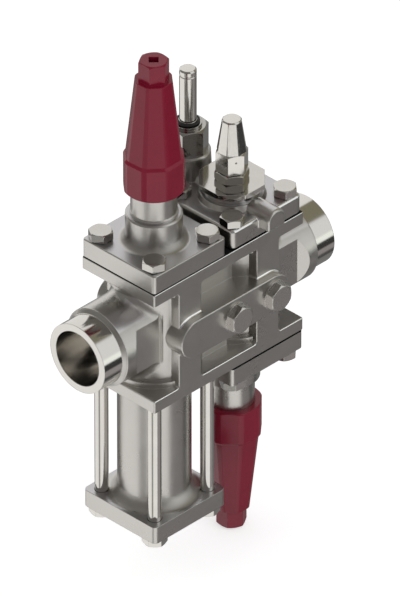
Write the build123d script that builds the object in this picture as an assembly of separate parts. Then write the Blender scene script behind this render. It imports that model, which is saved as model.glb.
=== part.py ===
"""In-line valve station: one cast body, two stop valves, a filter and a pilot solenoid valve.

The pipe runs along +X with the centre of the inlet's weld-end face at the origin, and +Z is up.
Two module axes cross the pipe. Every module is drawn standing up on its own axis, with heights
measured from the pipe's axis, and is turned over where it hangs under the body.
"""

from build123d import *
from math import cos, pi, sqrt
import os

# Pipe and weld ends
pipe_od = 48.3
pipe_bore = 38.1
weld_end_length = 15.8
shoulder_length = 1.7
end_to_axis = 68.3
module_pitch = 69.6

# Body casting
neck_r = 27.0
barrel_r = 27.0
neck_edge_r = 0.8
neck_blend_r = 7.5
facet_offset = 21.4
facet_reach = 37.3
facet_stock = 1.2
flange_face = 44.9
flange_edge = 8.4
flange_thickness = 9.1
flange_corner_r = 1.2
cast_edge_r = 0.7
recess_corner_r = 2.0
ring_r = 30.2
ring_height = 4.0
post_width = 20.0
web_half = 18.8
duct_half_height = 13.5
duct_face = 38.0
duct_edge_r = 0.8
duct_root_r = 1.5
port_passage_r = 11.0
crossover_r = 10.0
passage_start = 8.0
passage_rise = 4.0
passage_end = 12.0

# Ports in the body
chamber_r = 21.0
chamber_floor = 16.0
seat_ledge = 9.0
throat_r = 12.5
screen_ledge = 8.0

# Fits
slip = 0.05
running = 0.08
gasket_thickness = 0.8
bolt_hole_clearance = 0.25

# Module covers and their bolts
cover_edge = 8.4
cover_corner_r = 2.6
cover_thickness = 13.1
cover_edge_r = 0.8
spigot_length = 7.0
bolt_spacing = 47.2
bolt_r = 4.76
bolt_head_af = 14.3
bolt_head_height = 5.95
bolt_washer_height = 0.5
bolt_washer_share = 0.94
bolt_end = 37.5
hex_face_share = 0.97
hex_chamfer_slope = 0.55
gasket_outer_r = 27.0

# Stop valves
seat_height = 8.0
seat_bore_r = 11.0
seat_outer_r = 14.4
cone_r = 15.5
cone_height = 12.0
cone_nose_length = 4.0
hub_r = 10.0
hub_height = 8.0
seal_bore_r = 11.4
seal_outer_r = 14.4
seal_height = 2.0
valve_lift = 8.0
spindle_r = 6.0
spindle_top = 158.0
spindle_square = 8.5
spindle_square_length = 16.0
bonnet_cavity_r = 11.5
bonnet_boss_r = 18.25
bonnet_boss_top = 79.0
bonnet_boss_blend = 5.0
bonnet_neck_r = 14.85
bonnet_neck_top = 112.0
gland_housing_r = 12.6
gland_housing_top = 134.0
packing_r = 10.0
packing_height = 12.0
gland_head_af = 19.0
gland_head_height = 5.0

# Red caps
cap_bottom = 97.5
cap_skirt_r = 19.8
cap_skirt_top = 120.6
cap_cone_foot_r = 18.4
cap_cone_foot = 122.2
cap_cone_top_r = 12.2
cap_cone_top = 178.6
cap_top = 192.5
cap_knob_af = 17.4
cap_flat_count = 8
cap_flat_share = 0.956
cap_flat_turn = 49.0
cap_socket = 6.2
cap_socket_depth = 8.0
cap_gasket_height = 1.5
cap_upper_cavity_r = 8.0
cap_cavity_margin = 2.0

# Filter
cup_r = 23.6
cup_bore_r = 20.5
cup_base_top = 132.8
cup_base_thickness = 12.3
cup_base_corner_r = 3.6
cup_floor = 128.0
cup_foot_blend = 8.1
filter_bolt_r = 4.5
filter_head_height = 5.3
filter_head_turn = 14.6
screen_r = 17.4
screen_wall = 0.8
screen_bottom = 112.0
end_ring_r = 19.0
end_ring_height = 4.0
screen_window = 9.0
filter_spring_r = 12.0
filter_spring_wire = 1.6

# Solenoid module
solenoid_cover_edge = 7.7
solenoid_cover_corner_r = 4.0
solenoid_cover_edge_r = 2.0
ridge_r = 7.75
ridge_axis_height = 57.2
ridge_front = 40.0
ridge_bottom = 51.0
ridge_edge_r = 1.8
ridge_root_r = 1.5
rim_r = 20.5
rim_top = 62.3
turret_offset = 38.8
turret_foot_r = 15.8
turret_top_r = 14.6
turret_top = 75.5
piston_r = 16.0
piston_head_bottom = 27.0
piston_head_top = 40.0
piston_waist_r = 12.5
piston_disc_r = 13.8
piston_hollow_r = 9.5
piston_hollow_bottom = 20.0
piston_plate = 2.0
piston_ring_height = 2.0
piston_ring_depth = 1.0
guide_bottom = 26.0
guide_leg_width = 8.0
cover_cavity_top = 52.0
main_spring_r = 8.5
main_spring_wire = 1.4

# Manual opening spindle
collar_r = 7.5
collar_bottom = 26.2
collar_height = 2.8
manual_spindle_r = 4.0
manual_spindle_top = 100.0
manual_spindle_square = 5.6
manual_lift = 7.5
gland_plate_af = 41.5
gland_plate_sides = 8
gland_plate_foot_r = 18.9
gland_plate_chamfer = 3.0
gland_plate_top = 71.2
gland_plate_thickness = 5.8
gland_neck_r = 17.5
gland_thread_r = 13.0
gland_nozzle_r = 6.5
gland_nozzle_top = 88.0
lock_nut_af = 19.5
lock_nut_turn = -5.0
lock_nut_height = 6.3
manual_gasket_height = 0.7
manual_cap_af = 18.7
manual_cap_turn = 1.4
manual_cap_hex_top = 92.7
manual_cap_foot_r = 9.7
manual_cap_top_r = 6.4
manual_cap_top = 115.5
manual_cap_flat_count = 8
manual_cap_flat_turn = 51.7
vent_hole_r = 0.6

# Armature tube
tube_r = 5.6
tube_foot_r = 5.9
tube_bore_r = 4.2
tube_bottom = 70.0
tube_top = 135.5
tube_nut_af = 23.5
tube_nut_height = 18.0
tube_collar_r = 9.0
tube_collar_height = 2.0
o_ring_section_r = 0.9
orifice_r = 3.6
orifice_top = 77.5
orifice_bottom = 67.0
orifice_bore_r = 0.8
armature_length = 22.5
armature_spring_length = 12.0
armature_spring_r = 2.9
armature_spring_wire = 0.7

# Side plugs
plug_af = 17.0
plug_head_height = 5.2
plug_washer_r = 10.4
plug_washer_height = 1.4
plug_thread_r = 6.5
plug_thread_length = 10.0

# Values worked out from the sizes above
first_axis = end_to_axis
second_axis = end_to_axis + module_pitch
outlet_end = second_axis + end_to_axis
flange_back = flange_face - flange_thickness
flange_half = bolt_spacing / 2 + flange_edge
cover_half = bolt_spacing / 2 + cover_edge
solenoid_cover_half = bolt_spacing / 2 + solenoid_cover_edge
cover_bottom = flange_face + gasket_thickness
cover_top = cover_bottom + cover_thickness
seat_top = seat_ledge + seat_height
bolt_places = [
    (i * bolt_spacing / 2, j * bolt_spacing / 2) for i in (-1, 1) for j in (-1, 1)
]
armature_top = orifice_top + armature_length
tube_bore_top = armature_top + armature_spring_length
HEX_FLATS_AT_X = 30.0


def turned(*points):
    """A solid of revolution about Z from a closed (radius, height) outline."""
    return revolve(Plane.XZ * Polygon(*points, align=None), Axis.Z)


def tube(outer, inner, bottom, top):
    return turned((inner, bottom), (outer, bottom), (outer, top), (inner, top))


def disc(radius, bottom, top):
    return Pos(0, 0, bottom) * Cylinder(
        radius, top - bottom, align=(Align.CENTER, Align.CENTER, Align.MIN)
    )


def hexagon(across_flats, bottom, top, turn=0.0):
    """A hexagon prism whose flats face X before it is turned."""
    outline = RegularPolygon(
        across_flats / 2, 6, major_radius=False, rotation=HEX_FLATS_AT_X + turn
    )
    return Pos(0, 0, bottom) * extrude(outline, top - bottom)


def chamfered_hexagon(across_flats, bottom, top, turn=0.0, ends=("top",)):
    """A hexagon whose named ends are turned to a cone, as on a bolt head or a nut."""
    corner = across_flats / sqrt(3) + slip
    face_r = across_flats / 2 * hex_face_share
    drop = (corner - face_r) * hex_chamfer_slope
    outline = [(0, bottom)]
    if "bottom" in ends:
        outline += [(face_r, bottom), (corner, bottom + drop)]
    else:
        outline += [(corner, bottom)]
    if "top" in ends:
        outline += [(corner, top - drop), (face_r, top)]
    else:
        outline += [(corner, top)]
    outline += [(0, top)]
    return hexagon(across_flats, bottom, top, turn) & turned(*outline)


def square_plate(half, corner_r, bottom, top, edge_r=0.0):
    plate = Pos(0, 0, bottom) * extrude(
        RectangleRounded(2 * half, 2 * half, corner_r), top - bottom
    )
    if edge_r:
        plate = fillet(plate.faces().sort_by(Axis.Z)[-1].edges(), edge_r)
    return plate


def along_x(radius, start, end):
    """A cylinder on the pipe's axis between two X places."""
    length = end - start
    return Pos((start + end) / 2, 0, 0) * Rot(0, 90, 0) * Cylinder(radius, length)


def coil(radius, wire_r, bottom, top, turns):
    """A round-wire spring that stands between two heights."""
    height = top - bottom - 2 * wire_r
    path = Helix(height / turns, height, radius)
    section = Plane(path @ 0, z_dir=path % 0) * Circle(wire_r)
    return Pos(0, 0, bottom + wire_r) * sweep(section, path=path, is_frenet=True)


def flats_cut(solid, count, share, turn, rings):
    """Cut flats into a turned solid: rings are its (radius, height) stations."""
    side = rings[0][0] * 2
    cutters = []
    for (low_r, low), (high_r, high) in zip(rings, rings[1:]):
        for i in range(count):
            outline = Polygon(
                (low_r * share, low),
                (low_r * share + side, low),
                (low_r * share + side, high),
                (high_r * share, high),
                align=None,
            )
            slab = extrude(Plane.XZ * outline, side / 2, both=True)
            cutters.append(Rot(0, 0, turn + i * 360 / count) * slab)
    return solid - cutters


def stand(solid, axis_x, up=True):
    """Move a module's piece to its axis, upright or hanging."""
    turn = Rot(0, 0, 0) if up else Rot(180, 0, 0)
    return Pos(axis_x, 0, 0) * turn * solid


# The body casting


def with_facets(solid, axis_x, side, offset, reach, start):
    """Cut a flat into both sides of a neck, run out at 45 degrees at its outer end."""
    deep = 2 * neck_r
    run_out = reach + deep - offset
    for face in (-1, 1):
        flat = Polygon(
            (axis_x + side * start, face * offset),
            (axis_x + side * reach, face * offset),
            (axis_x + side * run_out, face * deep),
            (axis_x + side * start, face * deep),
            align=None,
        )
        solid -= extrude(flat, deep, both=True)
    return solid


def barrel_with_neck(axis_x, side):
    """A barrel and its neck, blended where the round walls meet and then faceted."""
    outer = axis_x + side * (end_to_axis - weld_end_length - shoulder_length)
    low, high = sorted((axis_x, outer))
    stock = with_facets(
        along_x(neck_r, low, high),
        axis_x,
        side,
        facet_offset + facet_stock,
        facet_reach + facet_stock,
        0,
    )
    solid = Pos(axis_x, 0, 0) * Cylinder(barrel_r, 2 * flange_face) + stock
    seams = [
        edge
        for edge in solid.edges().filter_by(GeomType.ELLIPSE)
        if abs(abs((edge @ 0.5).X - axis_x) - abs((edge @ 0.5).Z)) < 0.1
    ]
    solid = fillet(seams, neck_blend_r)
    barrel_at_facet = sqrt(barrel_r**2 - facet_offset**2)
    solid = with_facets(solid, axis_x, side, facet_offset, facet_reach, barrel_at_facet)
    rim = [
        edge
        for edge in solid.edges().filter_by(GeomType.CIRCLE)
        if abs((edge @ 0.5).X - outer) < 0.01
    ]
    return fillet(rim, neck_edge_r)


def weld_end(face_x, side):
    """A pipe-size end with the cone that leads up to the neck's shoulder."""
    return Pos(face_x, 0, 0) * Rot(0, 90 * side, 0) * turned(
        (0, 0),
        (pipe_od / 2, 0),
        (pipe_od / 2, weld_end_length),
        (neck_r - neck_edge_r, weld_end_length + shoulder_length),
        (0, weld_end_length + shoulder_length),
    )


def lies_at(edge, axis, distance):
    """Whether an edge lies in the plane at this distance on either side of the middle."""
    places = [getattr(edge @ t, axis) for t in (0, 0.5, 1)]
    return all(abs(abs(place) - distance) < 0.01 for place in places)


def rounded_recesses(solid):
    """Round the recesses' corners and rims, and the duct boss's rim and root."""
    post_sides = [
        axis_x + side * post_width / 2
        for axis_x in (first_axis, second_axis)
        for side in (-1, 1)
    ]
    corners = [
        edge
        for edge in solid.edges().filter_by(Axis.Y)
        if lies_at(edge, "Z", flange_back)
        and min(abs((edge @ 0.5).X - x) for x in post_sides) < 0.01
    ]
    solid = fillet(corners, recess_corner_r)
    rims = [
        edge
        for edge in solid.edges()
        if lies_at(edge, "Y", flange_half) and not on_duct(edge)
    ]
    solid = fillet(rims, cast_edge_r)
    solid = fillet([e for e in solid.edges() if lies_at(e, "Y", duct_face)], duct_edge_r)
    roots = [e for e in solid.edges() if lies_at(e, "Y", flange_half) and on_duct(e)]
    return fillet(roots, duct_root_r)


def on_duct(edge):
    """Whether an edge runs along the duct boss's outline."""
    middle = edge @ 0.5
    if edge.geom_type == GeomType.CIRCLE:
        return abs(middle.Z) < duct_half_height
    return lies_at(edge, "Z", duct_half_height)


def body_outside():
    span = second_axis - first_axis
    middle = (first_axis + second_axis) / 2
    solid = barrel_with_neck(first_axis, -1) + barrel_with_neck(second_axis, 1)
    solid += Pos(middle, 0, 0) * Box(span, 2 * web_half, 2 * flange_face)
    for axis_x in (first_axis, second_axis):
        solid += Pos(axis_x, 0, 0) * Box(post_width, 2 * flange_half, 2 * flange_face)
    for level in (-1, 1):
        plate = extrude(
            RectangleRounded(span + 2 * flange_half, 2 * flange_half, flange_corner_r),
            flange_thickness,
        )
        bottom = flange_back if level > 0 else -flange_face
        solid += Pos(middle, 0, bottom) * plate
        for axis_x in (first_axis, second_axis):
            ring = Cylinder(ring_r, ring_height)
            solid += Pos(axis_x, 0, level * (flange_back - ring_height / 2)) * ring
    duct = SlotOverall(span + 2 * duct_half_height, 2 * duct_half_height)
    solid += Pos(middle, 0, 0) * Rot(90, 0, 0) * extrude(duct, duct_face, both=True)
    solid = rounded_recesses(solid)
    return solid + weld_end(0, 1) + weld_end(outlet_end, -1)


def stop_port(axis_x, up):
    """The hollow for a stop valve or the solenoid piston: chamber, seat pocket, throat."""
    hollow = disc(chamber_r, chamber_floor, flange_face + 1)
    hollow += disc(seat_outer_r + slip, seat_ledge, chamber_floor + 1)
    hollow += disc(throat_r, 0, seat_ledge + 1)
    return stand(hollow, axis_x, up)


def bolt_holes(axis_x, up, radius):
    holes = [
        Pos(x, y, 0) * disc(radius + slip, bolt_end - 1, flange_face + 1)
        for x, y in bolt_places
    ]
    return [stand(hole, axis_x, up) for hole in holes]


def slanted(start, end, radius):
    """A drilled passage between two points in the XZ plane."""
    line = Line((start[0], 0, start[1]), (end[0], 0, end[1]))
    return sweep(Plane(line @ 0, z_dir=line % 0) * Circle(radius), path=line)


def valve_body():
    solid = body_outside()
    wall_gap = barrel_r - 2
    inlet_stop = first_axis - wall_gap
    outlet_stop = second_axis + wall_gap
    cuts = [along_x(pipe_bore / 2, -1, inlet_stop)]
    cuts.append(along_x(pipe_bore / 2, outlet_stop, outlet_end + 1))
    high = chamber_floor + port_passage_r
    rise_from = (inlet_stop - passage_start, passage_rise)
    fall_from = (outlet_stop + passage_start, -passage_rise)
    cuts.append(slanted(rise_from, (first_axis - passage_end, high), port_passage_r))
    cuts.append(slanted(fall_from, (second_axis + passage_end, -high), port_passage_r))
    cuts.append(stop_port(first_axis, True))
    cuts.append(stop_port(second_axis, True))
    cuts.append(stop_port(second_axis, False))
    cuts.append(stand(disc(chamber_r, screen_ledge, flange_face + 1), first_axis, False))
    cuts.append(stand(disc(throat_r, -1, screen_ledge + 1), first_axis, False))
    cross = slanted(
        (first_axis + passage_end, -chamber_floor - crossover_r / 2),
        (second_axis - passage_end, chamber_floor + crossover_r / 2),
        crossover_r,
    )
    cuts.append(cross)
    cuts += bolt_holes(first_axis, True, bolt_r)
    cuts += bolt_holes(first_axis, False, filter_bolt_r)
    cuts += bolt_holes(second_axis, True, bolt_r)
    cuts += bolt_holes(second_axis, False, bolt_r)
    for x in plug_places():
        cuts.append(plug_at(x, disc(plug_thread_r + slip, -plug_thread_length - 1, 1)))
    return solid - cuts


# Covers and their bolts


def bolts(radius, head_base, head_height, turns):
    """Four hexagon bolts as one group of solids."""
    group = []
    for (x, y), turn in zip(bolt_places, turns):
        head_foot = head_base + bolt_washer_height
        head = chamfered_hexagon(bolt_head_af, head_foot, head_base + head_height, turn)
        washer_face = disc(bolt_head_af / 2 * bolt_washer_share, head_base, head_foot)
        shank = disc(radius, bolt_end, head_base + 1)
        group.append(Pos(x, y, 0) * (head + washer_face + shank))
    return group


def drilled(solid, bottom, top, radius=bolt_r):
    """Bolt holes through a cover."""
    radius += bolt_hole_clearance
    return solid - [Pos(x, y, 0) * disc(radius, bottom - 1, top + 1) for x, y in bolt_places]


def face_gasket(outer, inner):
    return tube(outer, inner, flange_face, cover_bottom)


# Stop valve


def seat():
    return tube(seat_outer_r, seat_bore_r, seat_ledge, seat_top)


def cone():
    face = seat_top + 0.6
    top = face + cone_height
    nose_r = seat_bore_r - 0.6
    outline = [
        (0, face - cone_nose_length),
        (nose_r - 1.5, face - cone_nose_length),
        (nose_r, face - cone_nose_length + 1.5),
        (nose_r, face),
        (cone_r, face),
        (cone_r, top - 2),
        (cone_r - 2, top),
        (hub_r, top),
        (hub_r, top + hub_height),
        (spindle_r + running, top + hub_height),
        (spindle_r + running, face + 2),
        (0, face + 2),
    ]
    groove = tube(seal_outer_r + slip, seal_bore_r - slip, seat_top, seat_top + seal_height + slip)
    return turned(*outline) - groove


def cone_seal():
    return tube(seal_outer_r, seal_bore_r, seat_top + slip, seat_top + seal_height)


def spindle():
    foot = seat_top + 0.6 + 2 + slip
    shaft = disc(spindle_r, foot, spindle_top - spindle_square_length)
    square = Pos(0, 0, spindle_top - spindle_square_length) * extrude(
        Rectangle(spindle_square, spindle_square), spindle_square_length
    )
    return shaft + square


def bonnet():
    bore = spindle_r + running
    spigot_bottom = cover_bottom - spigot_length
    cavity_top = spigot_bottom + bonnet_cavity_r + 1
    boss = turned(
        (0, cover_bottom),
        (bonnet_boss_r, cover_bottom),
        (bonnet_boss_r, bonnet_boss_top - 1),
        (bonnet_boss_r - 1, bonnet_boss_top),
        (bonnet_neck_r + 0.6, bonnet_boss_top),
        (bonnet_neck_r + 0.6, bonnet_boss_top + 1.2),
        (bonnet_neck_r, bonnet_boss_top + 1.8),
        (bonnet_neck_r, bonnet_neck_top),
        (gland_housing_r, bonnet_neck_top),
        (gland_housing_r, gland_housing_top - 0.8),
        (gland_housing_r - 0.8, gland_housing_top),
        (0, gland_housing_top),
    )
    plate = square_plate(cover_half, cover_corner_r, cover_bottom, cover_top, cover_edge_r)
    solid = plate + boss
    foot = [
        edge
        for edge in solid.edges().filter_by(GeomType.CIRCLE)
        if abs(edge.radius - bonnet_boss_r) < 0.01
        and abs((edge @ 0).Z - cover_top) < 0.01
    ]
    solid = fillet(foot, bonnet_boss_blend)
    solid += disc(chamber_r - slip, spigot_bottom, cover_bottom + 1)
    solid -= turned(
        (0, spigot_bottom - 1),
        (bonnet_cavity_r, spigot_bottom - 1),
        (bonnet_cavity_r, cavity_top - 3),
        (bore, cavity_top),
        (bore, gland_housing_top + 1),
        (0, gland_housing_top + 1),
    )
    solid -= disc(packing_r + slip, bonnet_neck_top, gland_housing_top + 1)
    return drilled(solid, cover_bottom, cover_top)


def stem_packing():
    top = bonnet_neck_top + packing_height
    return tube(packing_r, spindle_r + running, bonnet_neck_top, top)


def packing_gland():
    bottom = bonnet_neck_top + packing_height
    sleeve = disc(packing_r, bottom, gland_housing_top + 1)
    head = chamfered_hexagon(
        gland_head_af, gland_housing_top, gland_housing_top + gland_head_height
    )
    bore = disc(spindle_r + running, bottom - 1, gland_housing_top + gland_head_height + 1)
    return sleeve + head - bore


def cap_gasket():
    bottom = bonnet_neck_top + slip
    return tube(bonnet_neck_r - 0.3, gland_housing_r + 0.3, bottom, bottom + cap_gasket_height)


def cap():
    """Turned skirt and cone with flats, a hexagon knob and a square key socket."""
    skirt = turned(
        (0, cap_bottom),
        (cap_skirt_r - 0.8, cap_bottom),
        (cap_skirt_r, cap_bottom + 0.8),
        (cap_skirt_r, cap_skirt_top),
        (cap_cone_foot_r, cap_cone_foot),
        (0, cap_cone_foot),
    )
    skirt = flats_cut(
        skirt,
        cap_flat_count,
        cap_flat_share,
        cap_flat_turn,
        [
            (cap_skirt_r, cap_bottom - 1),
            (cap_skirt_r, cap_skirt_top),
            (cap_cone_foot_r, cap_cone_foot),
        ],
    )
    shaft = turned(
        (0, cap_cone_foot),
        (cap_cone_foot_r, cap_cone_foot),
        (cap_cone_top_r, cap_cone_top),
        (0, cap_cone_top),
    )
    shaft = flats_cut(
        shaft,
        cap_flat_count,
        cap_flat_share,
        cap_flat_turn,
        [(cap_cone_foot_r, cap_cone_foot), (cap_cone_top_r, cap_cone_top)],
    )
    knob = chamfered_hexagon(cap_knob_af, cap_cone_top - 1, cap_top)
    socket = Pos(0, 0, cap_top - cap_socket_depth) * Rot(0, 0, 45) * extrude(
        Rectangle(cap_socket, cap_socket), cap_socket_depth + 1
    )
    shoulder = bonnet_neck_top + cap_gasket_height + 2 * slip
    housing_top = gland_housing_top + gland_head_height + cap_cavity_margin
    cavity = disc(bonnet_neck_r + running, cap_bottom - 1, shoulder)
    cavity += disc(gland_housing_r + 0.4, cap_bottom, housing_top)
    cavity += disc(
        cap_upper_cavity_r, housing_top - 1, spindle_top + valve_lift + cap_cavity_margin
    )
    return skirt + shaft + knob - socket - cavity


# Filter


def filter_housing():
    rim = cover_bottom
    base_bottom = cup_base_top + cup_base_thickness
    base = square_plate(cover_half, cup_base_corner_r, cup_base_top, base_bottom)
    solid = base + disc(cup_r, rim, cup_base_top + 1)
    foot = [
        edge
        for edge in solid.edges().filter_by(GeomType.CIRCLE)
        if abs(edge.radius - cup_r) < 0.01 and abs((edge @ 0).Z - cup_base_top) < 0.01
    ]
    solid = fillet(foot, cup_foot_blend)
    solid -= disc(cup_bore_r, rim - 1, cup_floor)
    return drilled(solid, cup_base_top, base_bottom, filter_bolt_r)


def screen_top_ring():
    return tube(end_ring_r, throat_r, screen_ledge, screen_ledge + end_ring_height)


def screen_bottom_ring():
    return disc(end_ring_r, screen_bottom, screen_bottom + end_ring_height)


def filter_screen():
    """The perforated basket between the two end rings."""
    bottom = screen_ledge + end_ring_height
    solid = tube(screen_r, screen_r - screen_wall, bottom, screen_bottom)
    length = screen_bottom - bottom
    rows = int(length / (screen_window * 2))
    step = length / rows
    windows = []
    for row in range(rows):
        for turn in (0, 60, 120):
            window = Box(3 * screen_r, screen_window, step * 0.55)
            middle = bottom + (row + 0.5) * step
            windows.append(Pos(0, 0, middle) * Rot(0, 0, turn) * window)
    return solid - windows


def filter_spring():
    return coil(
        filter_spring_r, filter_spring_wire / 2, screen_bottom + end_ring_height, cup_floor, 2
    )


# Solenoid module


def joins_ridge(edge):
    """Whether an edge is part of the seam between the cover's plate and its ridge."""
    middle = edge @ 0.5
    if edge.length > solenoid_cover_half or abs(middle.X) > ridge_r + slip:
        return False
    round_start = solenoid_cover_edge_r - solenoid_cover_half
    on_round = edge.length < 2 * solenoid_cover_edge_r and middle.Y < round_start
    on_round = on_round and middle.Y > -solenoid_cover_half
    on_front = lies_at(edge, "Y", solenoid_cover_half)
    return on_round or on_front or lies_at(edge, "Z", cover_top)


def solenoid_cover():
    plate = square_plate(
        solenoid_cover_half,
        solenoid_cover_corner_r,
        cover_bottom,
        cover_top,
        solenoid_cover_edge_r,
    )
    ridge_outline = Pos(0, ridge_axis_height) * Circle(ridge_r)
    ridge_outline += Pos(0, (ridge_axis_height + ridge_bottom) / 2) * Rectangle(
        2 * ridge_r, ridge_axis_height - ridge_bottom
    )
    ridge_outline -= Pos(0, ridge_bottom - ridge_r) * Rectangle(4 * ridge_r, 2 * ridge_r)
    ridge_outline = fillet(ridge_outline.vertices().sort_by(Axis.Y)[:2], ridge_edge_r)
    ridge = extrude(Plane.XZ * ridge_outline, ridge_front)
    ridge = fillet(ridge.faces().sort_by(Axis.Y)[0].edges(), ridge_edge_r)
    solid = plate + ridge
    solid = fillet([edge for edge in solid.edges() if joins_ridge(edge)], ridge_root_r)
    solid += Pos(0, turret_offset, 0) * extrude(Plane.XZ * ridge_outline, turret_offset)
    turret = turned(
        (0, cover_bottom),
        (turret_foot_r, cover_bottom),
        (turret_top_r, turret_top - 1),
        (turret_top_r - 1, turret_top),
        (0, turret_top),
    )
    rim = turned(
        (0, cover_bottom),
        (rim_r + 1.5, cover_bottom),
        (rim_r + 1.5, cover_top),
        (rim_r, rim_top),
        (0, rim_top),
    )
    spigot_bottom = cover_bottom - spigot_length
    solid += Pos(0, turret_offset, 0) * turret + rim
    solid += disc(chamber_r - slip, spigot_bottom, cover_bottom + 1)
    cuts = [disc(piston_r + 0.5, spigot_bottom - 1, cover_cavity_top)]
    cuts.append(disc(rim_r, rim_top, ridge_axis_height + ridge_r + 1))
    cuts.append(disc(gland_thread_r + slip, cover_cavity_top + 2, rim_top + 1))
    cuts.append(disc(manual_spindle_r + running, cover_cavity_top - 1, cover_cavity_top + 3))
    pocket = disc(tube_foot_r + slip, tube_bottom, turret_top + 1)
    pocket += disc(orifice_r + slip, orifice_bottom, tube_bottom + 1)
    pocket += disc(2, ridge_axis_height, orifice_bottom + 1)
    cuts.append(Pos(0, turret_offset, 0) * pocket)
    pilot_feed = piston_r - 2
    bore = Cylinder(2, turret_offset - pilot_feed)
    middle = (turret_offset + pilot_feed) / 2
    cuts.append(Pos(0, middle, ridge_axis_height) * Rot(90, 0, 0) * bore)
    cuts.append(Pos(0, pilot_feed, 0) * disc(1.5, cover_cavity_top - 1, ridge_axis_height))
    return drilled(solid - cuts, cover_bottom, cover_top)


def piston_cylinder():
    solid = tube(chamber_r - slip, piston_r + running, chamber_floor, cover_bottom - spigot_length)
    gap = Box(3 * chamber_r, 2 * chamber_r * 0.6, guide_bottom - chamber_floor)
    middle = (guide_bottom + chamber_floor) / 2
    windows = [Pos(0, 0, middle) * Rot(0, 0, turn) * gap for turn in (0, 90)]
    return solid - windows


def main_piston():
    groove_bottom = piston_head_bottom + 3
    solid = turned(
        (0, seat_top + slip),
        (piston_disc_r, seat_top + slip),
        (piston_disc_r, piston_hollow_bottom),
        (piston_waist_r, piston_hollow_bottom + 1.5),
        (piston_waist_r, piston_head_bottom),
        (piston_r, piston_head_bottom),
        (piston_r, piston_head_top),
        (0, piston_head_top),
    )
    solid -= disc(piston_hollow_r, piston_hollow_bottom, piston_head_top - piston_plate)
    solid -= disc(manual_spindle_r + 0.3, piston_hollow_bottom + 1, piston_head_top + 1)
    solid -= tube(
        piston_r + 1,
        piston_r - piston_ring_depth - slip,
        groove_bottom,
        groove_bottom + piston_ring_height + 2 * slip,
    )
    return solid


def piston_ring():
    bottom = piston_head_bottom + 3 + slip
    inner = piston_r - piston_ring_depth
    return tube(piston_r + running / 2, inner, bottom, bottom + piston_ring_height)


def main_spring():
    return coil(main_spring_r, main_spring_wire / 2, piston_head_top, cover_cavity_top, 3)


def lift_collar():
    return tube(collar_r, manual_spindle_r + slip, collar_bottom, collar_bottom + collar_height)


def manual_spindle():
    square_length = 8
    square = Pos(0, 0, manual_spindle_top - square_length) * extrude(
        Rectangle(manual_spindle_square, manual_spindle_square), square_length
    )
    return disc(manual_spindle_r, collar_bottom, manual_spindle_top - square_length) + square


def spindle_gland():
    """The octagon plate that screws into the cover and carries the cap's thread."""
    bottom = cover_cavity_top + 2
    plate_bottom = gland_plate_top - gland_plate_thickness
    half_side = pi / gland_plate_sides
    corner = gland_plate_af / 2 / cos(half_side) + slip
    outline = RegularPolygon(
        gland_plate_af / 2,
        gland_plate_sides,
        major_radius=False,
        rotation=180 / gland_plate_sides,
    )
    prism = Pos(0, 0, plate_bottom) * extrude(outline, gland_plate_thickness)
    plate = prism & turned(
        (0, plate_bottom),
        (gland_plate_foot_r, plate_bottom),
        (corner, plate_bottom + gland_plate_chamfer),
        (corner, gland_plate_top),
        (0, gland_plate_top),
    )
    solid = plate + turned(
        (0, bottom),
        (gland_thread_r, bottom),
        (gland_thread_r, rim_top),
        (gland_neck_r, rim_top),
        (gland_neck_r, gland_plate_top - slip),
        (gland_nozzle_r, gland_plate_top - slip),
        (gland_nozzle_r, gland_nozzle_top),
        (0, gland_nozzle_top),
    )
    bore = disc(manual_spindle_r + running, bottom - 1, gland_nozzle_top + 1)
    return solid - bore - seal_groove(0)


def seal_groove(margin):
    """The ring round the manual spindle, used for its o-ring and that ring's groove."""
    bottom = rim_top - 4
    outer = manual_spindle_r + 1.8
    return tube(
        outer + margin, manual_spindle_r + running, bottom - margin, bottom + 1.8 + margin
    )


def spindle_o_ring():
    return seal_groove(-slip)


def lock_nut():
    top = gland_plate_top + lock_nut_height
    nut = chamfered_hexagon(lock_nut_af, gland_plate_top, top, lock_nut_turn, ("bottom", "top"))
    return nut - disc(gland_nozzle_r + slip, gland_plate_top - 1, top + 1)


def manual_cap_base():
    return gland_plate_top + lock_nut_height + manual_gasket_height + slip


def manual_cap_gasket():
    top = manual_cap_base()
    return tube(manual_cap_af / 2 - 0.4, gland_nozzle_r + slip, top - manual_gasket_height, top)


def manual_cap():
    base = manual_cap_base() + slip
    foot = chamfered_hexagon(manual_cap_af, base, manual_cap_hex_top, manual_cap_turn)
    top_face = manual_cap_top - 0.8
    shaft = turned(
        (0, manual_cap_hex_top),
        (manual_cap_foot_r, manual_cap_hex_top),
        (manual_cap_top_r, top_face),
        (manual_cap_top_r - 0.8, manual_cap_top),
        (0, manual_cap_top),
    )
    shaft = flats_cut(
        shaft,
        manual_cap_flat_count,
        cap_flat_share,
        manual_cap_flat_turn,
        [(manual_cap_foot_r, manual_cap_hex_top), (manual_cap_top_r, top_face)],
    )
    cavity = disc(gland_nozzle_r + running, base - 1, gland_nozzle_top + 2)
    cavity += disc(
        manual_spindle_r + 0.5, base, manual_spindle_top + manual_lift + 1.5
    )
    hole_height = (base + manual_cap_hex_top) / 2 + 2
    face_turn = 240 + manual_cap_turn
    hole = Rot(0, 0, face_turn) * Pos(manual_cap_af / 2, 0, hole_height) * Rot(0, 90, 0)
    return foot + shaft - cavity - hole * Cylinder(vent_hole_r, 3)


# Armature tube


def tube_nut():
    top = turret_top + tube_nut_height
    nut = chamfered_hexagon(tube_nut_af, turret_top, top)
    nut += disc(tube_collar_r, top - 1, top + tube_collar_height)
    bore = disc(tube_foot_r + slip, turret_top - 1, top + tube_collar_height + 1)
    return Pos(0, turret_offset, 0) * (nut - bore)


def tube_shoulder():
    """The height of the collar's top with the o-ring lying on it."""
    return turret_top + tube_nut_height + tube_collar_height + 2 * o_ring_section_r


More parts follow.
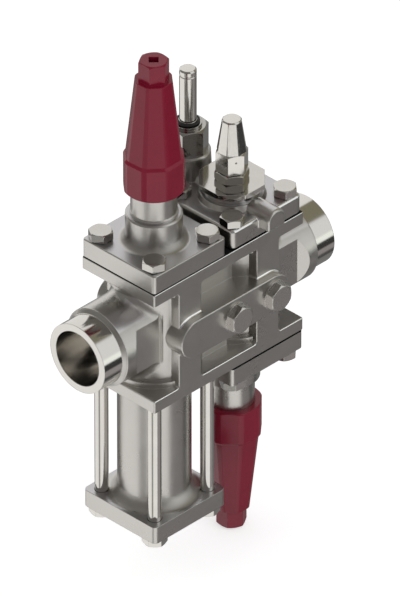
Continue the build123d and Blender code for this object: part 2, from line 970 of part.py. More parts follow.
def tube_o_ring():
    height = tube_shoulder() - o_ring_section_r
    ring_r = tube_foot_r + o_ring_section_r + slip
    return Pos(0, turret_offset, height) * Torus(ring_r, o_ring_section_r)


def armature_tube():
    groove = tube_top - 5
    solid = turned(
        (tube_bore_r, tube_bottom),
        (tube_foot_r, tube_bottom),
        (tube_foot_r, tube_shoulder()),
        (tube_r, tube_shoulder()),
        (tube_r, groove),
        (tube_r - 0.35, groove + 0.3),
        (tube_r - 0.35, groove + 1.1),
        (tube_r, groove + 1.4),
        (tube_r, tube_top - 0.9),
        (tube_r - 0.9, tube_top),
        (0, tube_top),
        (0, tube_bore_top),
        (tube_bore_r, tube_bore_top),
    )
    return Pos(0, turret_offset, 0) * solid


def pilot_orifice():
    solid = turned(
        (orifice_bore_r, orifice_bottom),
        (orifice_r, orifice_bottom),
        (orifice_r, orifice_top - 2),
        (orifice_bore_r + 0.8, orifice_top),
        (orifice_bore_r, orifice_top),
    )
    return Pos(0, turret_offset, 0) * solid


def armature():
    solid = disc(tube_bore_r - running / 2, orifice_top + slip, armature_top)
    return Pos(0, turret_offset, 0) * solid


def armature_spring():
    spring = coil(
        armature_spring_r, armature_spring_wire / 2, armature_top, tube_bore_top, 5
    )
    return Pos(0, turret_offset, 0) * spring


# Side plugs


def plug_places():
    return [(first_axis + second_axis) / 2, second_axis]


def plug_at(x, solid):
    """Stand a plug on the duct's flat face."""
    return Pos(x, -duct_face, 0) * Rot(90, 0, 0) * solid


def side_plug():
    head_top = plug_washer_height + plug_head_height
    head = chamfered_hexagon(plug_af, plug_washer_height, head_top)
    return head + disc(plug_thread_r, -plug_thread_length, plug_washer_height + 1)


def side_plug_washer():
    return tube(plug_washer_r, plug_thread_r + slip, 0, plug_washer_height)


def save(name, shape):
    solids = shape if isinstance(shape, list) else [shape]
    whole = Compound(children=[s for part in solids for s in part.solids()])
    export_step(whole, f"parts/{name}.step")


def stop_valve_pieces():
    """The pieces of one stop valve, standing up on its own axis."""
    turns = (8.1, 27.9, 25.3, 48)
    return {
        "bonnet": bonnet(),
        "bonnet_bolts": bolts(bolt_r, cover_top, bolt_head_height, turns),
        "bonnet_gasket": face_gasket(gasket_outer_r, chamber_r + 0.4),
        "seat": seat(),
        "cone": cone(),
        "cone_seal": cone_seal(),
        "spindle": spindle(),
        "stem_packing": stem_packing(),
        "packing_gland": packing_gland(),
        "cap": cap(),
        "cap_gasket": cap_gasket(),
    }


def filter_pieces():
    base_bottom = cup_base_top + cup_base_thickness
    return {
        "filter_housing": filter_housing(),
        "filter_bolts": bolts(
            filter_bolt_r, base_bottom, filter_head_height, 4 * [filter_head_turn]
        ),
        "filter_gasket": face_gasket(cup_r - 0.3, cup_bore_r + 0.5),
        "screen_top_ring": screen_top_ring(),
        "filter_screen": filter_screen(),
        "screen_bottom_ring": screen_bottom_ring(),
        "filter_spring": filter_spring(),
    }


def solenoid_pieces():
    turns = (-6.2, 50, 19, 8)
    return {
        "solenoid_cover": solenoid_cover(),
        "solenoid_cover_bolts": bolts(bolt_r, cover_top, bolt_head_height, turns),
        "solenoid_cover_gasket": face_gasket(gasket_outer_r, chamber_r + 0.4),
        "main_seat": seat(),
        "piston_cylinder": piston_cylinder(),
        "main_piston": main_piston(),
        "piston_ring": piston_ring(),
        "main_spring": main_spring(),
        "lift_collar": lift_collar(),
        "manual_spindle": manual_spindle(),
        "spindle_gland": spindle_gland(),
        "spindle_o_ring": spindle_o_ring(),
        "lock_nut": lock_nut(),
        "manual_cap_gasket": manual_cap_gasket(),
        "manual_cap": manual_cap(),
        "tube_nut": tube_nut(),
        "tube_o_ring": tube_o_ring(),
        "armature_tube": armature_tube(),
        "pilot_orifice": pilot_orifice(),
        "armature": armature(),
        "armature_spring": armature_spring(),
    }


os.makedirs("parts", exist_ok=True)
save("valve_body", valve_body())
for name, piece in stop_valve_pieces().items():
    for prefix, axis_x, up in (("upper", first_axis, True), ("lower", second_axis, False)):
        placed = [stand(p, axis_x, up) for p in (piece if isinstance(piece, list) else [piece])]
        save(f"{prefix}_{name}", placed)
for name, piece in filter_pieces().items():
    placed = [stand(p, first_axis, False) for p in (piece if isinstance(piece, list) else [piece])]
    save(name, placed)
for name, piece in solenoid_pieces().items():
    placed = [stand(p, second_axis) for p in (piece if isinstance(piece, list) else [piece])]
    save(name, placed)
for x, name in zip(plug_places(), ("middle_plug", "end_plug")):
    save(name, plug_at(x, side_plug()))
    save(f"{name}_washer", plug_at(x, side_plug_washer()))
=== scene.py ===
"""Finishes, spring copies and studio for the in-line valve station."""

from math import cos, radians, sin

import bmesh
import bpy
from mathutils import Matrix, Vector


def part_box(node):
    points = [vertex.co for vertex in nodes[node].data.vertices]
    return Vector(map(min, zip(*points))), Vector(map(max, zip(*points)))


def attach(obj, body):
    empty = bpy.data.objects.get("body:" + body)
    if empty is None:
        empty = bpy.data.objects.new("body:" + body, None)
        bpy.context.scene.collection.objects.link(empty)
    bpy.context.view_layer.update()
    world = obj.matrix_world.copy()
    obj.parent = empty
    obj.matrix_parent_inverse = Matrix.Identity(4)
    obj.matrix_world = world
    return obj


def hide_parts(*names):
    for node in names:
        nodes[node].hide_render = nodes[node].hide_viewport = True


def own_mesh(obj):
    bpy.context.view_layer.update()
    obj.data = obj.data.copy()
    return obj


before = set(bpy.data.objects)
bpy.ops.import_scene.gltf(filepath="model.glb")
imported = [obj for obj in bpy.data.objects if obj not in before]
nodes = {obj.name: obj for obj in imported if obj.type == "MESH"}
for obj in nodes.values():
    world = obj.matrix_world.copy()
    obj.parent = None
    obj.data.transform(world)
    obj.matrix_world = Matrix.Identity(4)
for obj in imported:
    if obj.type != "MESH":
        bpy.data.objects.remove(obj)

bl_info = {
    "name": "Valve station",
    "version": (1, 0, 0),
    "blender": (4, 5, 0),
    "location": "3D View > Sidebar > Valve station",
    "description": "Finishes, squeezed springs and studio for an in-line valve station",
    "category": "Object",
}

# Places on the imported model, in metres
INLET_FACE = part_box("valve_body")[0].x
OUTLET_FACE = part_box("valve_body")[1].x
JOINT_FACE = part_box("upper_bonnet_gasket")[0].z
COVER_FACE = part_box("upper_bonnet_gasket")[1].z
CUP_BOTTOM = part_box("filter_housing")[0].z
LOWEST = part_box("lower_cap")[0].z

# Sizes of the places that have a finish of their own or painted light and shade, in metres
WELD_END = 0.0158
BORE_RADIUS = 0.0191
BORE_DEPTH = 0.045
BORE_FADE = 0.002
CREVICE_EDGE = 0.00027
COVER_TOP = COVER_FACE + 0.0131
BOSS_FOOT = 0.006
BASE_TOP = CUP_BOTTOM + 0.0123
CUP_FOOT = 0.008
FOOT_START = 0.0008
# Where the painted edge highlights lie, from front to back
EDGE_HIGHLIGHT_FRONT = -0.0355
EDGE_HIGHLIGHT_BACK = -0.0288
SHARP = 0.0002

# How much of a face's direction is up or to the front, where 1 is all of it
LITTLE = 0.15
ENOUGH = 0.3
LEANING_FROM = 0.72
LEANING_TO = 0.97
LEVEL = 0.995

# Finishes of places on the castings, and their painted light and shade
# Painted reflection of the pale ceiling, on walls that look up and to the front
CEILING_REFLECTION_COLOUR = (0.84, 0.83, 0.85)
# Painted highlights on the rounded upper front edges
EDGE_HIGHLIGHT_COLOUR = (0.95, 0.95, 0.95)
SOFT_EDGE_HIGHLIGHT_COLOUR = (0.85, 0.85, 0.86)
# Painted shade in the crevices beside the flange joints
CREVICE_SHADE_COLOUR = (0.03, 0.03, 0.03)
EDGE_SAMPLES = 6

# The camera's sensor in millimetres, and how near and far it sees in metres
SENSOR_WIDTH = 36.0
NEAREST = 0.1
FARTHEST = 100

# Floor, sky and lamps, with lengths in metres
DOME_RADIUS = 8.0
FLOOR_SIZE = 14.0
FLOOR_GAP = 0.001
FLOOR_COLOUR = (0.8, 0.8, 0.8)
FLOOR_GLOW = 0.58
SKY_ON_OBJECT = 0.55
SKY_SEEN = 1.0
RIGHT_LAMP = (0.5, -1.7, 0.7)
RIGHT_LAMP_SIZE = 0.9
LEFT_LAMP = (-1.3, 0.2, 1.2)
LEFT_LAMP_SIZE = 0.8
LEFT_LAMP_SHARE = 0.5

# What the metal shows: the light of the walls and of patches on walls, ceiling and floor.
# A patch has two turns about the object, two heights and the softness of its edge, all in
# degrees, and its light. Turn 0 is at the outlet's side, -90 in front and 90 behind.
WALL_LIGHT = (0.40, 0.39, 0.38)
PATCHES = [
    # Dim walls on the left, behind and in front
    (100, 200, -14, 90, 8, (0.22, 0.215, 0.20)),
    (-200, -92, -14, 90, 8, (0.20, 0.19, 0.185)),
    # Dim wall high on the right
    (-38, 27, 20, 80, 3, (0.24, 0.225, 0.16)),
    # Window behind on the right
    (27, 100, -14, 52, 3, (0.93, 0.92, 0.90)),
    # White floor on the left
    (98, 200, -90, -14, 5, (1.0, 0.99, 0.97)),
    (-200, -88, -90, -14, 3, (1.0, 0.99, 0.97)),
    # Grey strip across the white floor
    (177, 200, -60, -22, 3, (0.36, 0.355, 0.34)),
    (-183, -157, -60, -22, 3, (0.36, 0.355, 0.34)),
    # Grey floor on the right, behind and in front
    (-20, 92, -90, -14, 6, (0.21, 0.21, 0.205)),
    (-88, -18, -90, -30, 4, (0.325, 0.305, 0.305)),
    # Dark far edge of that floor, and the dark seam between its two halves
    (-88, -18, -31, -14, 2, (0.05, 0.05, 0.05)),
    (-34, -18, -60, -14, 4, (0.08, 0.08, 0.078)),
    # Window in front, brightest at its foot
    (-92, -40, -13, 62, 3, (0.87, 0.875, 0.86)),
    (-92, -40, -13, 0, 3, (1.12, 1.16, 1.10)),
]


class ValveLook(bpy.types.PropertyGroup):
    """Colours and finishes of the metal and the caps"""

    steel_colour: bpy.props.FloatVectorProperty(
        name="Steel",
        description="Reflection colour of the stainless steel",
        default=(0.60, 0.585, 0.56),
        subtype="COLOR",
    )
    # Colour of the milled tops, partly a painted bluish reflection of the sky
    milled_colour_and_sky_tint: bpy.props.FloatVectorProperty(
        name="Milled steel",
        description="Reflection colour of the milled cover tops",
        default=(0.60, 0.595, 0.61),
        subtype="COLOR",
    )
    cast_roughness: bpy.props.FloatProperty(
        name="Cast roughness",
        description="How matt the blasted casting is",
        default=0.30,
        subtype="FACTOR",
    )
    polish_roughness: bpy.props.FloatProperty(
        name="Polish roughness",
        description="How matt the bolts, nuts and weld ends are",
        default=0.11,
        subtype="FACTOR",
    )
    cast_grain: bpy.props.FloatProperty(
        name="Cast grain",
        description="Height of the casting's skin",
        default=0.00012,
        unit="LENGTH",
    )
    cap_colour: bpy.props.FloatVectorProperty(
        name="Cap red",
        description="Colour of the painted caps",
        default=(0.24, 0.006, 0.028),
        subtype="COLOR",
    )
    edge_radius: bpy.props.FloatProperty(
        name="Edge radius",
        description="How far a machined edge is broken",
        default=0.0004,
        unit="LENGTH",
    )


class ValveStudio(bpy.types.PropertyGroup):
    """Camera and lamps"""

    azimuth: bpy.props.FloatProperty(
        name="Azimuth",
        description="Camera's turn from the -Y side towards +X",
        default=radians(-45.39),
        subtype="ANGLE",
    )
    elevation: bpy.props.FloatProperty(
        name="Elevation",
        description="Camera's height above the horizon",
        default=radians(34.27),
        subtype="ANGLE",
    )
    distance: bpy.props.FloatProperty(
        name="Distance",
        description="Camera's distance, long so that edges stay parallel",
        default=11.0,
        unit="LENGTH",
    )
    view_height: bpy.props.FloatProperty(
        name="View height",
        description="Height of the picture at the object",
        default=0.3758,
        unit="LENGTH",
    )
    target: bpy.props.FloatVectorProperty(
        name="Target",
        description="Point in the middle of the picture",
        default=(0.1094, 0.0, -0.0070),
        subtype="TRANSLATION",
    )
    lamp_power: bpy.props.FloatProperty(
        name="Lamp power",
        description="Power of the right lamp",
        default=6.0,
        unit="POWER",
    )


# Node trees


def node(tree, kind, inputs=None, **settings):
    """Add a shader node, set its properties, and set or link its inputs."""
    made = tree.nodes.new("ShaderNode" + kind)
    for key, value in settings.items():
        setattr(made, key, value)
    for key, value in (inputs or {}).items():
        if isinstance(value, bpy.types.NodeSocket):
            tree.links.new(value, made.inputs[key])
        else:
            made.inputs[key].default_value = value
    return made


def calc(tree, operation, *values):
    """A sum, product or other operation on values of the node tree."""
    return node(tree, "Math", dict(enumerate(values)), operation=operation).outputs[0]


def overlap(tree, *masks):
    """1 only where every mask is 1."""
    made = masks[0]
    for mask in masks[1:]:
        made = calc(tree, "MULTIPLY", made, mask)
    return made


def smooth(tree, value, start, end):
    """0 before the start and 1 past the end, with a soft ramp; the end may be the lower."""
    made = node(
        tree,
        "MapRange",
        {"Value": value, "From Min": start, "From Max": end},
        interpolation_type="SMOOTHSTEP",
    )
    return made.outputs["Result"]


def between(tree, value, low, high, soft):
    """1 where the value lies between two limits, with soft ends."""
    rises = smooth(tree, value, low - soft, low + soft)
    falls = smooth(tree, value, high + soft, high - soft)
    return overlap(tree, rises, falls)


def spread(tree, value, low, high, start=0.3, end=0.7):
    """Map a texture's value to a range."""
    made = node(
        tree,
        "MapRange",
        {
            "Value": value,
            "From Min": start,
            "From Max": end,
            "To Min": low,
            "To Max": high,
        },
    )
    return made.outputs["Result"]


def mix_values(tree, mask, plain, masked):
    """The plain value where the mask is 0 and the masked one where it is 1."""
    return node(tree, "Mix", {"Factor": mask, "A": plain, "B": masked}).outputs["Result"]


def mix_colours(tree, mask, plain, masked):
    """The plain colour where the mask is 0 and the masked one where it is 1."""
    inputs = {"Factor": mask, "A": plain, "B": masked}
    return node(tree, "Mix", inputs, data_type="RGBA").outputs["Result"]


def tint(tree, value, dark, light):
    """Mix two colours by a texture's value."""
    return mix_colours(tree, value, (*dark, 1), (*light, 1))


def shade(colour, factor):
    """The colour made darker or lighter."""
    return tuple(channel * factor for channel in colour)


def noise(tree, scale, detail=3.0, roughness=0.5):
    """Noise in the object's own coordinates, scale in features per metre."""
    place = node(tree, "TexCoord").outputs["Object"]
    inputs = {"Vector": place, "Scale": scale, "Detail": detail, "Roughness": roughness}
    return node(tree, "TexNoise", inputs).outputs["Fac"]


def raised(tree, height, distance, strength, under):
    """Normals of a skin that follows a texture's value, on top of other normals."""
    inputs = {"Height": height, "Distance": distance, "Strength": strength, "Normal": under}
    return node(tree, "Bump", inputs).outputs["Normal"]


def broken_edge(tree, radius):
    """Normals that round an edge, as where it was deburred."""
    return node(tree, "Bevel", {"Radius": radius}, samples=EDGE_SAMPLES).outputs["Normal"]


def own_place(tree):
    """X, Y and Z of a point in the object's own coordinates."""
    place = node(tree, "TexCoord").outputs["Object"]
    return node(tree, "SeparateXYZ", {0: place}).outputs


def direction(tree, kind):
    """X, Y and Z of the way the surface faces, with or without its smoothing."""
    return node(tree, "SeparateXYZ", {0: node(tree, "NewGeometry").outputs[kind]}).outputs


def main_shader(tree, colour, rough, more):
    """The main shader with its colour, its roughness and what else it takes."""
    inputs = {"Base Color": colour, "Roughness": rough, **more}
    return node(tree, "BsdfPrincipled", inputs)


def finish(name, tree_maker):
    """Make a material whose surface is what tree_maker returns."""
    material = bpy.data.materials.new(name)
    material.use_nodes = True
    tree = material.node_tree
    tree.nodes.clear()
    surface = tree_maker(tree)
    node(tree, "OutputMaterial", {"Surface": surface.outputs[0]})
    return material


# Places on the castings that have a finish of their own or painted light and shade


def pipe_place(tree):
    """A point's distance from the body's middle along the pipe, and from the pipe's axis."""
    sides = own_place(tree)
    middle = (INLET_FACE + OUTLET_FACE) / 2
    along = calc(tree, "ABSOLUTE", calc(tree, "SUBTRACT", sides["X"], middle))
    across = node(tree, "CombineXYZ", {"Y": sides["Y"], "Z": sides["Z"]}).outputs[0]
    radius = node(tree, "VectorMath", {0: across}, operation="LENGTH").outputs["Value"]
    return along, radius


def turned_ends(tree):
    """1 on the outside and the faces of the body's two turned weld ends."""
    along, radius = pipe_place(tree)
    start = (OUTLET_FACE - INLET_FACE) / 2 - WELD_END
    outside = smooth(tree, along, start - SHARP, start + SHARP)
    away = smooth(tree, radius, BORE_RADIUS, BORE_RADIUS + SHARP)
    return overlap(tree, outside, away)


def pipe_bore(tree):
    """1 on the wall of the pipe's bore at both ends of the body, where painted light lifts the
    bore's shade.
    """
    along, radius = pipe_place(tree)
    start = (OUTLET_FACE - INLET_FACE) / 2 - BORE_DEPTH
    outside = smooth(tree, along, start - BORE_FADE, start + BORE_FADE)
    near = smooth(tree, radius, BORE_RADIUS + SHARP, BORE_RADIUS)
    return overlap(tree, outside, near)


def crevice(tree):
    """1 beside the joint between the body's flanges and their covers, where dark shade is
    painted.
    """
    height = calc(tree, "ABSOLUTE", own_place(tree)["Z"])
    below = smooth(tree, height, JOINT_FACE - CREVICE_EDGE, JOINT_FACE - CREVICE_EDGE / 2)
    above = smooth(tree, height, COVER_FACE + CREVICE_EDGE, COVER_FACE + CREVICE_EDGE / 2)
    return overlap(tree, below, above)


def edge_highlight_place(tree):
    """1 on the rounded upper edges of the front faces, where a bright highlight is painted."""
    facing = direction(tree, "True Normal")
    up = smooth(tree, facing["Z"], LITTLE, ENOUGH)
    front = smooth(tree, facing["Y"], -LITTLE, -ENOUGH)
    near = between(tree, own_place(tree)["Y"], EDGE_HIGHLIGHT_FRONT, EDGE_HIGHLIGHT_BACK, SHARP)
    return overlap(tree, up, front, near)


def ceiling_reflection_place(tree):
    """1 on rounded walls that look up and to the front, where a reflection of the pale ceiling
    is painted.
    """
    facing = direction(tree, "Normal")
    leaning = between(tree, facing["Z"], LEANING_FROM, LEANING_TO, 0.03)
    front = smooth(tree, facing["Y"], -LITTLE, -0.28)
    return overlap(tree, leaning, front)


def boss_foot(tree):
    """1 on the rough fillet where a bonnet's round boss stands on its flange, which also gets
    a little painted shade.
    """
    height = calc(tree, "ABSOLUTE", own_place(tree)["Z"])
    above = smooth(tree, height, COVER_TOP + 0.0001, COVER_TOP + FOOT_START)
    near = smooth(tree, height, COVER_TOP + BOSS_FOOT, COVER_TOP + BOSS_FOOT / 2)
    return overlap(tree, above, near)


def cup_foot(tree):
    """1 on the rough fillet where the filter cup's wall stands on its square base, which also
    gets a little painted shade.
    """
    height = own_place(tree)["Z"]
    return between(tree, height, BASE_TOP + FOOT_START, BASE_TOP + CUP_FOOT, 0.0005)


def milled_top(tree):
    """1 on level faces that look up, which are milled or ground smooth, and carry a painted
    bluish reflection of the sky.
    """
    return smooth(tree, direction(tree, "True Normal")["Z"], LEANING_TO, LEVEL)


# Finishes


def cast_steel(look, name, places, strength=0.35):
    """Blasted stainless casting, with cloudy patches and places that have another finish or
    painted light and shade.

    Each place is its mask, its roughness and its colour. Strength is that of the skin.
    """

    def build(tree):
        clouds = noise(tree, 45, 4, 0.6)
        streaks = noise(tree, 14, 3, 0.55)
        grain = noise(tree, 1500, 2, 0.6)
        dents = noise(tree, 260, 2, 0.5)
        steel = look.steel_colour
        colour = tint(tree, spread(tree, clouds, 0, 1), shade(steel, 0.94), shade(steel, 1.03))
        rough = spread(tree, clouds, look.cast_roughness - 0.04, look.cast_roughness + 0.04)
        rough = calc(tree, "ADD", rough, spread(tree, streaks, -0.03, 0.04))
        edge = broken_edge(tree, look.edge_radius * 1.6)
        grip = strength
        for find_place, place_roughness, place_colour in places:
            mask = find_place(tree)
            rough = mix_values(tree, mask, rough, place_roughness)
            colour = mix_colours(tree, mask, colour, (*place_colour, 1))
            grip = calc(tree, "MULTIPLY", calc(tree, "SUBTRACT", 1.0, mask), grip)
        skin = raised(tree, dents, look.cast_grain * 2, grip, edge)
        skin = raised(tree, grain, look.cast_grain, grip, skin)
        return main_shader(tree, colour, rough, {"Metallic": 1.0, "Normal": skin})

    return finish(name, build)


def machined_steel(look, name="machined_steel", roughness=0.26, brightness=1.05):
    """Turned or milled stainless with fine tool marks."""

    def build(tree):
        clouds = noise(tree, 80, 3)
        marks = noise(tree, 900, 2, 0.5)
        light = shade(look.steel_colour, brightness)
        colour = tint(tree, spread(tree, clouds, 0, 1), shade(light, 0.95), light)
        rough = spread(tree, marks, roughness - 0.03, roughness + 0.04)
        edge = broken_edge(tree, look.edge_radius)
        return main_shader(tree, colour, rough, {"Metallic": 1.0, "Normal": edge})

    return finish(name, build)


def polished_steel(look, name, brightness):
    """Machined stainless with a polish."""
    return machined_steel(look, name, look.polish_roughness, brightness)


def cap_paint(look):
    """Satin red paint on the caps."""

    def build(tree):
        clouds = noise(tree, 60, 3)
        skin = noise(tree, 1200, 2)
        red = look.cap_colour
        colour = tint(tree, spread(tree, clouds, 0, 1), shade(red, 0.92), shade(red, 1.06))
        rough = spread(tree, skin, 0.22, 0.27)
        edge = broken_edge(tree, look.edge_radius * 1.5)
        peel = raised(tree, skin, 0.00005, 0.2, edge)
        return main_shader(
            tree, colour, rough, {"Normal": peel, "Specular IOR Level": 0.42}
        )

    return finish("cap_paint", build)


def plain_finish(name, colour, roughness, metallic=0.0):
    """A finish for seals, springs and other small pieces, with fine variation."""

    def build(tree):
        grain = noise(tree, 300, 3)
        shades = spread(tree, grain, 0, 1)
        base = tint(tree, shades, shade(colour, 0.9), shade(colour, 1.1))
        rough = spread(tree, grain, roughness - 0.05, roughness + 0.05)
        return main_shader(tree, base, rough, {"Metallic": metallic})

    return finish(name, build)


# Pieces


def dress(names, material):
    """Give CAD nodes a finish."""
    for name in names:
        mesh = nodes[name].data
        mesh.materials.clear()
        mesh.materials.append(material)


def both(*names):
    """The names of pieces that the upper and the lower stop valve have alike."""
    return [f"{side}_{name}" for side in ("upper", "lower") for name in names]


def squeezed_spring(name):
    """Show a spring as a copy of its piece that the station's body carries, and hide the
    piece.
    """
    coil = bpy.data.objects.new(f"{name}_coil", nodes[name].data.copy())
    bpy.context.scene.collection.objects.link(coil)
    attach(coil, "station")
    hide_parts(name)
    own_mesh(coil)


class VALVE_OT_castings(bpy.types.Operator):
    """Give the body, covers and filter cup their cast finish, with painted light and shade in
    places
    """

    bl_idname = "valve.castings"
    bl_label = "Castings"

    def execute(self, context):
        look = context.scene.valve_look
        steel = look.steel_colour
        # Each place is where it is, how matt it is and its colour
        # A painted reflection of the pale ceiling
        pale = (ceiling_reflection_place, look.cast_roughness, CEILING_REFLECTION_COLOUR)
        ends = (turned_ends, look.polish_roughness, shade(steel, 1.17))
        # The bore's wall is painted lighter, as painted light in its shade
        bore = (pipe_bore, 0.2, shade(steel, 1.4))
        # Painted highlights on the upper front edges, bright on the body and softer on the
        # solenoid cover
        edges = (edge_highlight_place, 0.14, EDGE_HIGHLIGHT_COLOUR)
        soft_edge_highlights = (edge_highlight_place, 0.2, SOFT_EDGE_HIGHLIGHT_COLOUR)
        # Milled tops, smooth, with a painted bluish sky reflection
        tops = (milled_top, look.cast_roughness + 0.03, look.milled_colour_and_sky_tint)
        # Rough fillets at the feet, a little darker as painted shade
        base = (cup_foot, 0.5, shade(steel, 0.97))
        foot = (boss_foot, 0.55, shade(steel, 0.94))
        # Painted shade in the crevices beside the joints
        joint = (crevice, 0.7, CREVICE_SHADE_COLOUR)
        body = cast_steel(look, "body_casting", [pale, ends, bore, edges, joint])
        dress(["valve_body"], body)
        solenoid = cast_steel(look, "solenoid_casting", [tops, soft_edge_highlights, joint])
        dress(["solenoid_cover"], solenoid)
        cup = cast_steel(look, "cup_casting", [base, tops, joint], strength=0.12)
        dress(["filter_housing"], cup)
        cover = cast_steel(look, "cover_casting", [foot, tops, joint])
        dress(both("bonnet"), cover)
        return {"FINISHED"}


class VALVE_OT_fasteners(bpy.types.Operator):
    """Finish the bolts, nuts, plugs and turned outside pieces"""

    bl_idname = "valve.fasteners"
    bl_label = "Fasteners"

    def execute(self, context):
        look = context.scene.valve_look
        dress(
            ["filter_bolts", "lock_nut", "manual_cap", "armature_tube"],
            polished_steel(look, "polished_steel", 1.2),
        )
        # The nut's polished steel is made darker, as painted shade on its facets
        dress(["tube_nut"], polished_steel(look, "nut_steel_painted_shade", 0.8))
        dress(
            [*both("bonnet_bolts"), "solenoid_cover_bolts", "spindle_gland"],
            polished_steel(look, "bolt_steel", 1.06),
        )
        dress(["middle_plug", "end_plug"], machined_steel(look, "plug_steel", 0.2, 1.0))
        return {"FINISHED"}


class VALVE_OT_caps(bpy.types.Operator):
    """Paint the two stop valve caps"""

    bl_idname = "valve.caps"
    bl_label = "Caps"

    def execute(self, context):
        dress(both("cap"), cap_paint(context.scene.valve_look))
        return {"FINISHED"}


class VALVE_OT_inner_pieces(bpy.types.Operator):
    """Finish the working pieces, the seals and the springs, and show two springs as copies"""

    bl_idname = "valve.inner_pieces"
    bl_label = "Inner pieces"

    def execute(self, context):
        look = context.scene.valve_look
        dress(
            [
                *both("seat", "cone", "spindle", "packing_gland"),
                "main_seat",
                "piston_cylinder",
                "main_piston",
                "lift_collar",
                "manual_spindle",
                "pilot_orifice",
                "armature",
                "screen_top_ring",
                "screen_bottom_ring",
                "middle_plug_washer",
                "end_plug_washer",
            ],
            machined_steel(look),
        )
        dress(
            [
                *both("bonnet_gasket", "cap_gasket"),
                "solenoid_cover_gasket",
                "filter_gasket",
                "manual_cap_gasket",
            ],
            plain_finish("fibre", (0.06, 0.06, 0.058), 0.75),
        )
        dress(
            [*both("cone_seal"), "piston_ring"],
            plain_finish("seal_plastic", (0.75, 0.73, 0.68), 0.35),
        )
        dress(both("stem_packing"), plain_finish("packing", (0.045, 0.045, 0.045), 0.7))
        dress(
            ["spindle_o_ring", "tube_o_ring"],
            plain_finish("rubber", (0.02, 0.02, 0.02), 0.55),
        )
        dress(
            ["filter_spring", "main_spring", "armature_spring"],
            plain_finish("spring_steel", (0.42, 0.41, 0.39), 0.28, 1.0),
        )
        dress(["filter_screen"], plain_finish("screen_steel", (0.5, 0.49, 0.46), 0.35, 1.0))
        squeezed_spring("main_spring")
        squeezed_spring("armature_spring")
        return {"FINISHED"}


# Studio


def background_rays(tree):
    """1 for the rays that see the background: the camera's, reflected and refracted ones."""
    path = node(tree, "LightPath").outputs
    first = calc(tree, "MAXIMUM", path["Is Camera Ray"], path["Is Glossy Ray"])
    return calc(tree, "MAXIMUM", first, path["Is Transmission Ray"])


def floor_finish():
    """A pale floor that reads as white and keeps the shadow, and is clear from below."""

    def build(tree):
        paint = node(tree, "BsdfDiffuse", {"Color": (*FLOOR_COLOUR, 1)})
        glow = node(tree, "Emission", {"Color": (1, 1, 1, 1), "Strength": FLOOR_GLOW})
        both_ways = node(tree, "AddShader", {0: paint.outputs[0], 1: glow.outputs[0]})
        seen = background_rays(tree)
        top = node(
            tree, "MixShader", {0: seen, 1: paint.outputs[0], 2: both_ways.outputs[0]}
        )
        side = node(tree, "NewGeometry").outputs["Backfacing"]
        clear = node(tree, "BsdfTransparent")
        return node(tree, "MixShader", {0: side, 1: top.outputs[0], 2: clear.outputs[0]})

    return finish("pale_floor", build)


def walls_finish(middle):
    """The studio as the metal shows it: dim walls, soft windows, a white and a dark floor."""

    def build(tree):
        place = node(tree, "NewGeometry").outputs["Position"]
        away = node(tree, "VectorMath", {0: place, 1: middle}, operation="SUBTRACT").outputs[0]
        sides = node(tree, "SeparateXYZ", {0: away}).outputs
        turn = calc(tree, "DEGREES", calc(tree, "ARCTAN2", sides["Y"], sides["X"]))
        far = node(tree, "VectorMath", {0: away}, operation="LENGTH").outputs["Value"]
        slope = calc(tree, "ARCSINE", calc(tree, "DIVIDE", sides["Z"], far))
        rise = calc(tree, "DEGREES", slope)
        light = (*WALL_LIGHT, 1)
        for left, right, low, high, soft, glow in PATCHES:
            across = between(tree, turn, left, right, soft)
            upright = between(tree, rise, low, high, soft)
            light = mix_colours(tree, overlap(tree, across, upright), light, (*glow, 1))
        return node(tree, "Emission", {"Color": light, "Strength": 1.0})

    return finish("studio_walls", build)


def stage_piece(name, shape, place, material):
    """Make a piece of the studio from a finished mesh."""
    mesh = bpy.data.meshes.new(name)
    shape.to_mesh(mesh)
    shape.free()
    mesh.materials.append(material)
    made = bpy.data.objects.new(name, mesh)
    bpy.context.scene.collection.objects.link(made)
    made.location = place
    return made


def softbox(name, place, towards, size, power):
    """A square lamp that looks at a point and that polished metal doesn't show."""
    lamp = bpy.data.lights.new(name, "AREA")
    lamp.shape = "SQUARE"
    lamp.size = size
    lamp.energy = power
    made = bpy.data.objects.new(name, lamp)
    bpy.context.scene.collection.objects.link(made)
    made.rotation_mode = "QUATERNION"
    made.location = place
    made.rotation_quaternion = (Vector(towards) - Vector(place)).to_track_quat("-Z", "Y")
    made.visible_glossy = False


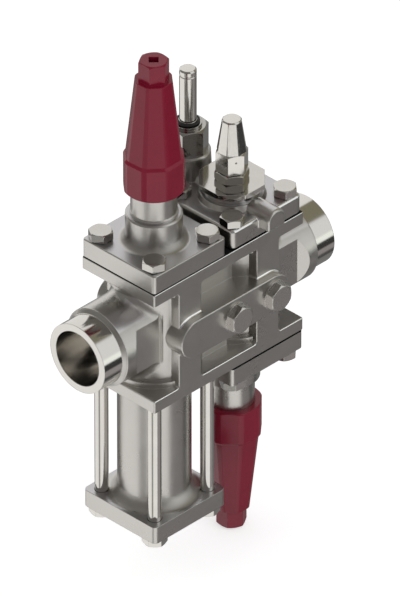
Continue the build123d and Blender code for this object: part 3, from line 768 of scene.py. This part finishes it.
class VALVE_OT_studio(bpy.types.Operator):
    """Set up the floor, what the metal shows, the lamps and the camera"""

    bl_idname = "valve.studio"
    bl_label = "Studio"

    def execute(self, context):
        scene = context.scene
        studio = scene.valve_studio
        scene.view_settings.view_transform = "Standard"
        middle = Vector(studio.target)
        self.floor(middle)
        self.reflections(middle)
        self.world(scene)
        power = studio.lamp_power
        softbox("right_lamp", RIGHT_LAMP, middle, RIGHT_LAMP_SIZE, power)
        softbox("left_lamp", LEFT_LAMP, middle, LEFT_LAMP_SIZE, power * LEFT_LAMP_SHARE)
        self.camera(scene, studio, middle)
        return {"FINISHED"}

    def floor(self, middle):
        """A level floor just under the lower cap, which the metal doesn't show."""
        shape = bmesh.new()
        bmesh.ops.create_grid(shape, x_segments=1, y_segments=1, size=FLOOR_SIZE / 2)
        place = (middle.x, middle.y, LOWEST - FLOOR_GAP)
        floor = stage_piece("floor", shape, place, floor_finish())
        floor.visible_glossy = False

    def reflections(self, middle):
        """A far shell that holds what the metal shows, and that nothing else sees."""
        shape = bmesh.new()
        bmesh.ops.create_icosphere(shape, subdivisions=4, radius=DOME_RADIUS)
        walls = stage_piece("studio_walls", shape, middle, walls_finish(middle))
        walls.visible_camera = False
        walls.visible_diffuse = False
        walls.visible_shadow = False
        walls.visible_transmission = False

    def world(self, scene):
        """A white sky that looks white to the camera and lights the object less."""
        world = bpy.data.worlds.new("studio")
        scene.world = world
        world.use_nodes = True
        tree = world.node_tree
        tree.nodes.clear()
        strength = spread(tree, background_rays(tree), SKY_ON_OBJECT, SKY_SEEN, 0, 1)
        sky = node(tree, "Background", {"Color": (1, 1, 1, 1), "Strength": strength})
        node(tree, "OutputWorld", {"Surface": sky.outputs[0]})

    def camera(self, scene, studio, middle):
        """The camera on the photograph's side, far away with a long lens."""
        data = bpy.data.cameras.new("camera")
        data.sensor_width = SENSOR_WIDTH
        data.lens = SENSOR_WIDTH * studio.distance / studio.view_height
        data.clip_start = NEAREST
        data.clip_end = FARTHEST
        camera = bpy.data.objects.new("camera", data)
        scene.collection.objects.link(camera)
        turn, rise = studio.azimuth, studio.elevation
        back = Vector((sin(turn) * cos(rise), -cos(turn) * cos(rise), sin(rise)))
        camera.location = middle + back * studio.distance
        camera.rotation_mode = "QUATERNION"
        camera.rotation_quaternion = (-back).to_track_quat("-Z", "Y")
        scene.camera = camera


class VALVE_PT_panel(bpy.types.Panel):
    """Lists the sizes, colours and steps of the valve station"""

    bl_idname = "VALVE_PT_panel"
    bl_label = "Valve station"
    bl_space_type = "VIEW_3D"
    bl_region_type = "UI"
    bl_category = "Valve station"

    def draw(self, context):
        for group in (context.scene.valve_look, context.scene.valve_studio):
            for name in group.bl_rna.properties.keys():
                if name not in ("rna_type", "name"):
                    self.layout.prop(group, name)
        for step in steps:
            self.layout.operator(step.bl_idname)


steps = (
    VALVE_OT_castings,
    VALVE_OT_fasteners,
    VALVE_OT_caps,
    VALVE_OT_inner_pieces,
    VALVE_OT_studio,
)
classes = (ValveLook, ValveStudio, *steps, VALVE_PT_panel)


def register():
    for entry in classes:
        bpy.utils.register_class(entry)
    bpy.types.Scene.valve_look = bpy.props.PointerProperty(type=ValveLook)
    bpy.types.Scene.valve_studio = bpy.props.PointerProperty(type=ValveStudio)


def unregister():
    del bpy.types.Scene.valve_studio
    del bpy.types.Scene.valve_look
    for entry in reversed(classes):
        bpy.utils.unregister_class(entry)


def main():
    register()
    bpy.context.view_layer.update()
    bpy.ops.valve.castings()
    bpy.ops.valve.fasteners()
    bpy.ops.valve.caps()
    bpy.ops.valve.inner_pieces()
    bpy.ops.valve.studio()


if __name__ == "__main__":
    main()
